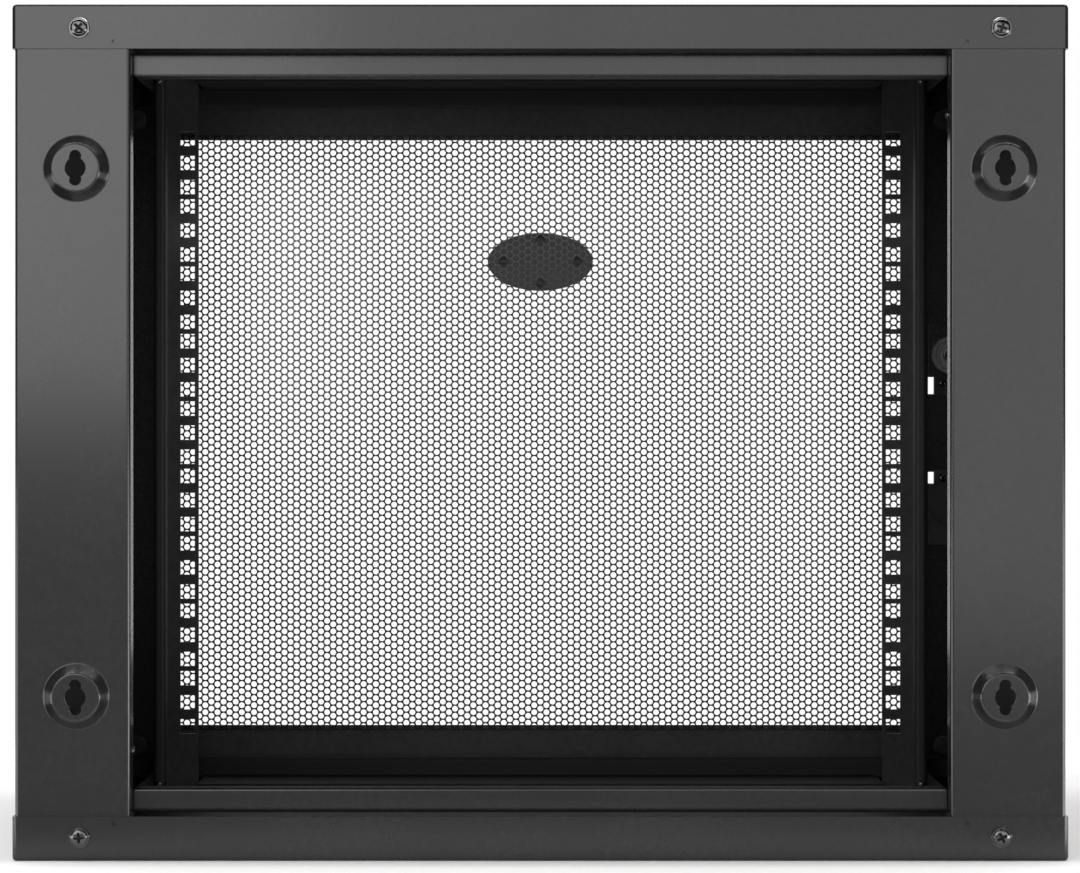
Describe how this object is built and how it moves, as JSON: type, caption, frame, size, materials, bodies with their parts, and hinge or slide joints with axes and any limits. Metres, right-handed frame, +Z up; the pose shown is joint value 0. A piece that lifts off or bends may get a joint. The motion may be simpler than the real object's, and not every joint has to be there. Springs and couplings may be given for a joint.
{
  "type": "wall-mount rack cabinet",
  "caption": "Sheet-steel wall-mount rack cabinet for 19-inch equipment, with open back, keyhole wall bosses, square-hole rails, perforated hinged door and removable side panels.",
  "frame": {"origin": "the middle of the bottom cover's underside, midway between the sides and 200 mm in front of the covers' rear faces", "axes": "+Z up, +Y towards the wall, -Y out of the door, +X to the right as seen from the door, on the hinge side"},
  "size_m": [0.6, 0.4188, 0.4864],
  "materials": {
    "powder_coat": "black fine-texture powder coat on sheet steel",
    "dark_plastic": "dark grey glass-filled nylon, matt",
    "zinc": "zinc-plated steel, slightly dull",
    "black_steel": "blackened steel, satin",
    "rubber": "black rubber"
  },
  "bodies": {
    "cabinet": {"bottom_cover": "powder_coat", "top_cover": "powder_coat", "cable_plate_bottom": "powder_coat", "cable_plate_top": "powder_coat", "rear_post_right": "powder_coat", "rear_post_left": "powder_coat", "front_post_right": "powder_coat", "front_post_left": "powder_coat", "side_rail_bottom_right": "powder_coat", "side_rail_top_left": "powder_coat", "side_rail_bottom_left": "powder_coat", "side_rail_top_right": "powder_coat", "rear_crossbar_bottom": "powder_coat", "rear_crossbar_top": "powder_coat", "front_crossbar_bottom": "powder_coat", "front_crossbar_top": "powder_coat", "cover_screw_bottom_right": "zinc", "cover_screw_top_left": "zinc", "cover_screw_bottom_left": "zinc", "cover_screw_top_right": "zinc", "lip_screw_right": "zinc", "lip_screw_left": "zinc", "hinge_bracket_bottom": "powder_coat", "hinge_bracket_top": "powder_coat", "latch_strike": "zinc", "earth_stud": "zinc"},
    "door": {"door_frame": "powder_coat", "door_mesh": "powder_coat", "badge_plate": "dark_plastic", "badge_clip_top": "black_steel", "badge_clip_bottom": "black_steel", "badge_clip_left": "black_steel", "badge_clip_right": "black_steel", "door_bumper_bottom_right": "rubber", "door_bumper_top_left": "rubber", "door_bumper_bottom_left": "rubber", "door_bumper_top_right": "rubber", "hinge_pin_bottom": "zinc", "hinge_pin_top": "zinc", "handle_escutcheon": "dark_plastic", "handle_clamp_upper": "black_steel", "handle_clamp_lower": "dark_plastic"},
    "handle_spindle": {"handle_spindle": "zinc", "lock_cam": "black_steel", "cam_nut": "zinc"},
    "handle_lever": {"handle_lever": "dark_plastic"},
    "lock_cylinder": {"lock_cylinder": "zinc"},
    "mounting_rail_right": {"mounting_rail_right": "powder_coat", "rail_screw_bottom_right": "zinc", "rail_screw_top_right": "zinc"},
    "mounting_rail_left": {"mounting_rail_left": "powder_coat", "rail_screw_bottom_left": "zinc", "rail_screw_top_left": "zinc"},
    "side_panel_right": {"side_panel_right": "powder_coat"},
    "side_panel_left": {"side_panel_left": "powder_coat"},
    "side_latch_right_bottom": {"side_latch_right_bottom": "dark_plastic"},
    "side_latch_right_top": {"side_latch_right_top": "dark_plastic"},
    "side_latch_left_bottom": {"side_latch_left_bottom": "dark_plastic"},
    "side_latch_left_top": {"side_latch_left_top": "dark_plastic"}
  },
  "joints": [
    {"name": "door_hinge", "type": "hinge", "parent": "cabinet", "child": "door", "pos_m": [0.294, -0.194, 0.2432], "axis": [0, 0, 1], "range_deg": [0, 135]},
    {"name": "handle_turn", "type": "hinge", "parent": "door", "child": "handle_spindle", "pos_m": [-0.2755, -0.2, 0.2952], "axis": [0, -1, 0], "range_deg": [0, 90]},
    {"name": "lever_lift", "type": "hinge", "parent": "handle_spindle", "child": "handle_lever", "pos_m": [-0.2755, -0.2085, 0.3052], "axis": [-1, 0, 0], "range_deg": [0, 30]},
    {"name": "lock_turn", "type": "hinge", "parent": "handle_lever", "child": "lock_cylinder", "pos_m": [-0.2755, -0.21, 0.1943], "axis": [0, -1, 0], "range_deg": [0, 90]},
    {"name": "rail_right_depth", "type": "slide", "parent": "cabinet", "child": "mounting_rail_right", "axis": [0, 1, 0], "range_m": [0, 0.15]},
    {"name": "rail_left_depth", "type": "slide", "parent": "cabinet", "child": "mounting_rail_left", "axis": [0, 1, 0], "range_m": [0, 0.15]},
    {"name": "side_panel_right_pull", "type": "slide", "parent": "cabinet", "child": "side_panel_right", "axis": [1, 0, 0], "range_m": [0, 0.08]},
    {"name": "side_panel_left_pull", "type": "slide", "parent": "cabinet", "child": "side_panel_left", "axis": [-1, 0, 0], "range_m": [0, 0.08]},
    {"name": "side_latch_right_bottom_turn", "type": "hinge", "parent": "side_panel_right", "child": "side_latch_right_bottom", "pos_m": [0.2985, 0.01, 0.056], "axis": [1, 0, 0], "range_deg": [0, 90]},
    {"name": "side_latch_right_top_turn", "type": "hinge", "parent": "side_panel_right", "child": "side_latch_right_top", "pos_m": [0.2985, 0.01, 0.4304], "axis": [1, 0, 0], "range_deg": [0, 90]},
    {"name": "side_latch_left_bottom_turn", "type": "hinge", "parent": "side_panel_left", "child": "side_latch_left_bottom", "pos_m": [-0.2985, 0.01, 0.056], "axis": [-1, 0, 0], "range_deg": [0, 90]},
    {"name": "side_latch_left_top_turn", "type": "hinge", "parent": "side_panel_left", "child": "side_latch_left_top", "pos_m": [-0.2985, 0.01, 0.4304], "axis": [-1, 0, 0], "range_deg": [0, 90]}
  ]
}
